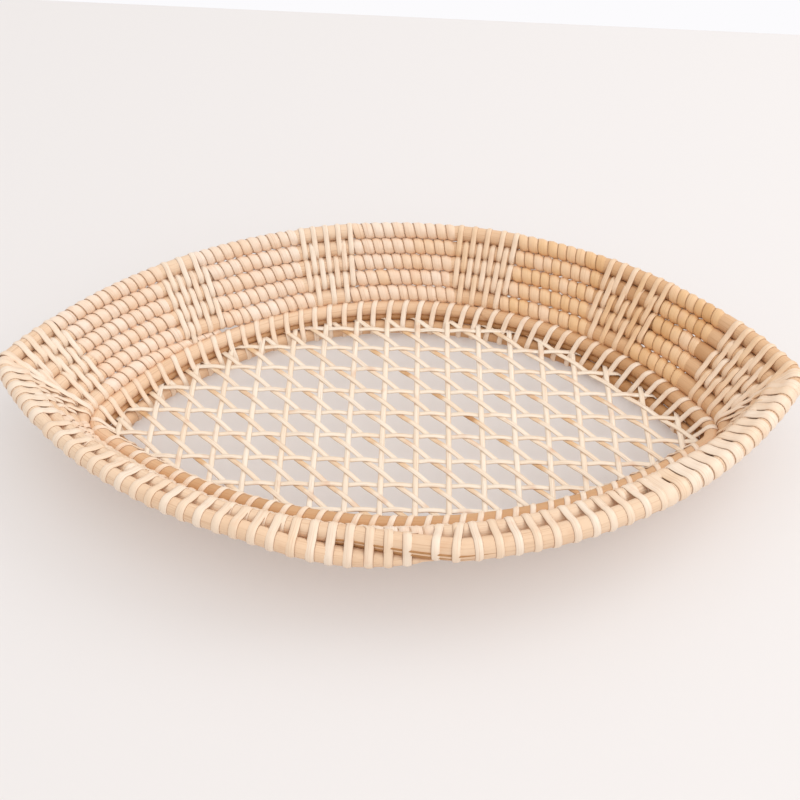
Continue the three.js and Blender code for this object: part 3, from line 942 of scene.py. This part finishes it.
lashing = {"spacing": 8.2, "width": 3.0, "start": 0.02, "tint": 0.12, "slideFrom": 0.05}


def ringPair(at):
    upper, normal = onRing(clampOutline, clampHeight, at)
    lower, _ = onRing(footOutline, rings["footHeight"], at)
    return upper[0], rings["clampRadius"], lower[0], rings["footRadius"], normal[0]


fine = np.linspace(lashing["start"], 4 + lashing["start"], fineSteps)
line, _ = onRing(clampOutline, clampHeight, fine)
stops, travelled = evenly(line, lashing["spacing"])
lashPlaces = np.interp(stops, travelled, fine)
lashRun = lashPlaces[-3::-1]  # clockwise, with one turn left out where its ends would meet
ringLashing = stitchRun("ringLashing", ringPair, lashRun, lashPlaces[0] - lashPlaces[1],
                        lashing["width"], lashing["tint"], lashing["slideFrom"])
addToTray(ringLashing, stitchSatin, "cane_strand")
print("lashing made")


# The woven floor

floor = {
    "crossStrands": 18, "longStrands": 9, "slantStrands": 18,
    "crossPitch": 16.4, "longPitch": 16.1, "shift": (-2.1, 12.65),
    "width": 2.75, "lift": 0.46,  # each crossing parts two strands by twice this
    "sheet": 5.0,  # from the foot rod's middle up to the weave's
    "hug": 3.85,  # the same, where an end is folded round the rod
    "fold": 165, "foldSpread": (0.85, 1.1),  # degrees round the foot rod to a strand's cut end
    "hugBend": 1.3,  # radians round the rod over which an end closes up on it
    "levelPast": 1,  # from here on outside the foot rod's middle a strand no longer waves
    "levelOver": 7,  # and this far in from there it waves in full
    "leastHeight": 0.35,  # over the table
    "halfReach": 1.2, "reachSteps": 4801,  # of the foot ring's half length, past any strand's end
    # how far a strand wanders sideways, how slowly, over what length, and where its middle lies
    "drift": 0.45, "driftLength": 60, "driftOver": 400, "driftFrom": 180,
    "step": 2.4, "foldFrom": 1.0, "foldDensity": 3.0,  # closer steps where an end is folded
    "seat": 0.3,  # a strand's underside below its route
    "tint": 0.16, "tintSpread": (-0.1, 0.12), "tintLength": 30, "tintDrift": 0.1,
    "grainRange": 3000,
}
# How much darker a slant strand is where it dips, and how far past its crossing that lies. This is
# partly its darker inner side and partly painted shade where it passes under the strands it
# crosses.
dips = {"tint": 0.06, "dark": 0.55, "spread": (0.2, 1.0), "at": 0.18, "gain": 1.2, "from": 0.1}


def strandRoute(start, direction, phase, sign):
    # From where it is deepest inside the ring, each way to its cut end. A strand weaves up and
    # down, and past the foot rod's middle its end bends down round it.
    halfReach = floor["halfReach"]
    reach = np.linspace(-halfReach, halfReach, floor["reachSteps"]) * rings["footHalfLength"]
    drift = wander(floor["driftOver"], floor["driftLength"], floor["drift"])
    sideways = np.array([-direction[1], direction[0]])
    aside = drift(reach + floor["driftFrom"])
    spots = start + reach[:, None] * direction + sideways * aside[:, None]
    depth, outward = footOutline.inset(spots[:, 0], spots[:, 1])
    middle = int(np.argmax(depth))
    foldDepth = math.radians(floor["fold"]) * (floor["sheet"] + floor["hug"]) / 2
    ends = []
    for way in (-1, 1):
        i = middle
        limit = foldDepth * luck.uniform(*floor["foldSpread"])
        while 0 < i < len(reach) - 1 and depth[i] > -limit:
            i += way
        ends.append(i)
    chosen = np.arange(ends[0], ends[1] + 1)
    spots, depth, outward = spots[chosen], depth[chosen], outward[chosen]
    wave = np.cos(2 * math.pi * phase(spots))
    inside = smooth((depth + floor["levelPast"]) / floor["levelOver"])
    lift = sign * floor["lift"] * wave * inside
    bend = np.maximum(-depth, 0) * 2 / (floor["sheet"] + floor["hug"])
    arm = floor["sheet"] + (floor["hug"] - floor["sheet"]) * smooth(bend / floor["hugBend"]) + lift
    flat = spots + outward * np.where(depth < 0, depth + arm * np.sin(bend), 0)[:, None]
    height = rings["footHeight"] + np.where(depth < 0, arm * np.cos(bend), floor["sheet"] + lift)
    line = np.column_stack([flat, height]) + floorMiddle
    out = np.column_stack([outward * np.sin(bend)[:, None], np.cos(bend)])
    line[:, 2] = np.maximum(line[:, 2], floor["leastHeight"])
    return line, out, depth


def resample(line, out, depth):
    # Even steps along the strand, closer ones where it folds round the rod
    travelled = lengthsAlong(line)
    density = np.where(depth < floor["foldFrom"], floor["foldDensity"], 1.0)
    weight = np.concatenate([[0], np.cumsum(np.diff(travelled) * (density[1:] + density[:-1]) / 2)])
    steps = int(weight[-1] / floor["step"])
    stops = np.interp(np.linspace(0, weight[-1], steps + 1), weight, travelled)
    return pointsAt(stops, travelled, line), unit(pointsAt(stops, travelled, out)), stops


shift = np.array(floor["shift"])
# Each set's piece, node, count and way, a point that its strand k goes through, where it is in
# the weave's wave, and whether it starts up or down
strandSets = [
    ("crossStrand", "cross_strand", floor["crossStrands"], np.array([0, floor["longPitch"]]),
     lambda k: np.array([shift[0] + k * floor["crossPitch"], 0]),
     lambda p: (p[:, 1] - shift[1]) / floor["longPitch"], 1),
    ("longStrand", "long_strand", floor["longStrands"], np.array([floor["crossPitch"], 0]),
     lambda k: np.array([0, shift[1] + k * floor["longPitch"]]),
     lambda p: (p[:, 0] - shift[0]) / floor["crossPitch"], 1),
    ("slantStrand", "slant_strand", floor["slantStrands"],
     np.array([floor["crossPitch"], -floor["longPitch"]]),
     lambda k: np.array([shift[0] + (k - 0.5) * floor["crossPitch"], shift[1]]),
     lambda p: (p[:, 0] - shift[0]) / floor["crossPitch"], -1),
]
for name, node, count, cell, through, phase, sign in strandSets:
    direction = cell / np.linalg.norm(cell)
    for i in range(count):
        onLine = through(i - (count - 1) / 2)
        line, out, stops = resample(*strandRoute(onLine, direction, phase, sign))
        strand = straightLength(caneStep, len(line) - 1, f"{name}{i + 1:02d}")
        tint = floor["tint"] + luck.uniform(*floor["tintSpread"])
        tint = tint + wander(stops[-1], floor["tintLength"], floor["tintDrift"])(stops)
        if name == "slantStrand":
            # a slant strand is darker where it dips from one crossing to the next: partly its
            # darker side showing, partly painted shade under the strands that cross it
            dip = np.cos(2 * math.pi * (phase((line - floorMiddle)[:, :2]) - dips["at"]))
            dark = dips["dark"] * smooth(dip * dips["gain"] - dips["from"])
            tint = tint + dips["tint"] + dark * luck.uniform(*dips["spread"])
        bendAlong(strand, line - out * floor["seat"], out, floor["width"], 1.0, tint,
                  luck.uniform(0, floor["grainRange"]))
        addToTray(strand, caneSatin, "cane_strand", f"{node}_{i + 1:02d}")
print("floor woven")


# Studio, in metres

studio = {
    "floorColour": "#CCC9C9", "floorRough": 0.75,
    "glowColour": "#FFF9F5", "floorGlow": 0.24,
    "worldColour": "#FFFDFB", "worldLevel": (0.4, 1.14),  # level with the horizon, overhead
    "seenSky": "#FCFBFD",  # behind the table, for the camera and in reflections
    "tableSize": (6, 4, 0.02), "tableBevel": 0.003,
    "tableEdge": ((-0.30, 0.455), (0.42, 0.405)),  # two points of its far edge
}
lamps = {
    "keyLight": {"spot": (1.15, 0.4, 1.1), "aim": (0.15, 0.0, 0.0), "power": 5.4, "size": 1.2},
    "fillLight": {"spot": (0.85, -1.0, 1.0), "aim": (0.1, 0.0, 0.0), "power": 4.8, "size": 1.6},
}


def tablePaint():
    # Matt white paint, with a faint, wide sheen. Its soft glow stands for the light that the walls
    # of a white room would send back.
    material = bpy.data.materials.new("table top, matt white paint")
    material.use_nodes = True
    shader = material.node_tree.nodes["Principled BSDF"]
    shader.inputs["Base Color"].default_value = linear(studio["floorColour"])
    shader.inputs["Roughness"].default_value = studio["floorRough"]
    shader.inputs["Emission Color"].default_value = linear(studio["glowColour"])
    shader.inputs["Emission Strength"].default_value = studio["floorGlow"]
    return material


deselectAll()
farLeft, farRight = (np.array(end) for end in studio["tableEdge"])
along = unit(farRight - farLeft)
turned = math.atan2(along[1], along[0])
tableWidth, tableDepth, tableThick = studio["tableSize"]
centre = (farLeft + farRight) / 2 + np.array([along[1], -along[0]]) * tableDepth / 2
bpy.ops.mesh.primitive_cube_add(size=1, location=(*centre, -tableThick / 2),
                                rotation=(0, 0, turned), scale=(tableWidth, tableDepth, tableThick))
table = bpy.context.object
table.name = "table"
bpy.ops.object.transform_apply(location=True, rotation=True, scale=True)
editOnly(table, "FACE", lambda face: face.normal.z > facesAxis)
bpy.ops.mesh.bevel(offset=studio["tableBevel"], segments=3, affect="EDGES")
bpy.ops.object.mode_set(mode="OBJECT")
table.data.materials.append(tablePaint())

for name, look in lamps.items():
    bpy.ops.object.light_add(type="AREA", location=look["spot"])
    lamp = bpy.context.object
    lamp.name = name
    lamp.data.shape = "DISK"
    lamp.data.size = look["size"]
    lamp.data.energy = look["power"]
    towards = unit(np.array(look["spot"]) - np.array(look["aim"]))
    sideways = unit(np.cross([0, 0, 1], towards))
    upwards = np.cross(towards, sideways)
    lamp.matrix_world = facing(sideways, upwards, towards, look["spot"])

world = bpy.data.worlds.new("daylight room")
world.use_nodes = True
bpy.context.scene.world = world
tree = world.node_tree
sky = tree.nodes["Background"]
sky.inputs["Color"].default_value = linear(studio["worldColour"])
skyWay = addNode(tree, "ShaderNodeTexCoord")
skyParts = addNode(tree, "ShaderNodeSeparateXYZ", sockets={0: skyWay.outputs["Generated"]})
skyLevel = addNode(tree, "ShaderNodeMapRange", sockets={
    "Value": skyParts.outputs["Z"], "To Min": studio["worldLevel"][0],
    "To Max": studio["worldLevel"][1]})
tree.links.new(skyLevel.outputs[0], sky.inputs["Strength"])
lightPath = addNode(tree, "ShaderNodeLightPath")
seen = addNode(tree, "ShaderNodeMath", {"operation": "MAXIMUM"}, {
    0: lightPath.outputs["Is Camera Ray"], 1: lightPath.outputs["Is Glossy Ray"]})
plainSky = addNode(tree, "ShaderNodeBackground", sockets={
    "Color": linear(studio["seenSky"]), "Strength": 1.0})
mixed = addNode(tree, "ShaderNodeMixShader", sockets={
    0: seen.outputs[0], 1: sky.outputs[0], 2: plainSky.outputs[0]})
tree.links.new(mixed.outputs[0], tree.nodes["World Output"].inputs["Surface"])
bpy.context.scene.view_settings.view_transform = "Standard"

for step in (peelStep, stitchStep, caneStep, rodStep):
    bpy.data.objects.remove(step)
deselectAll()

print("studio made")
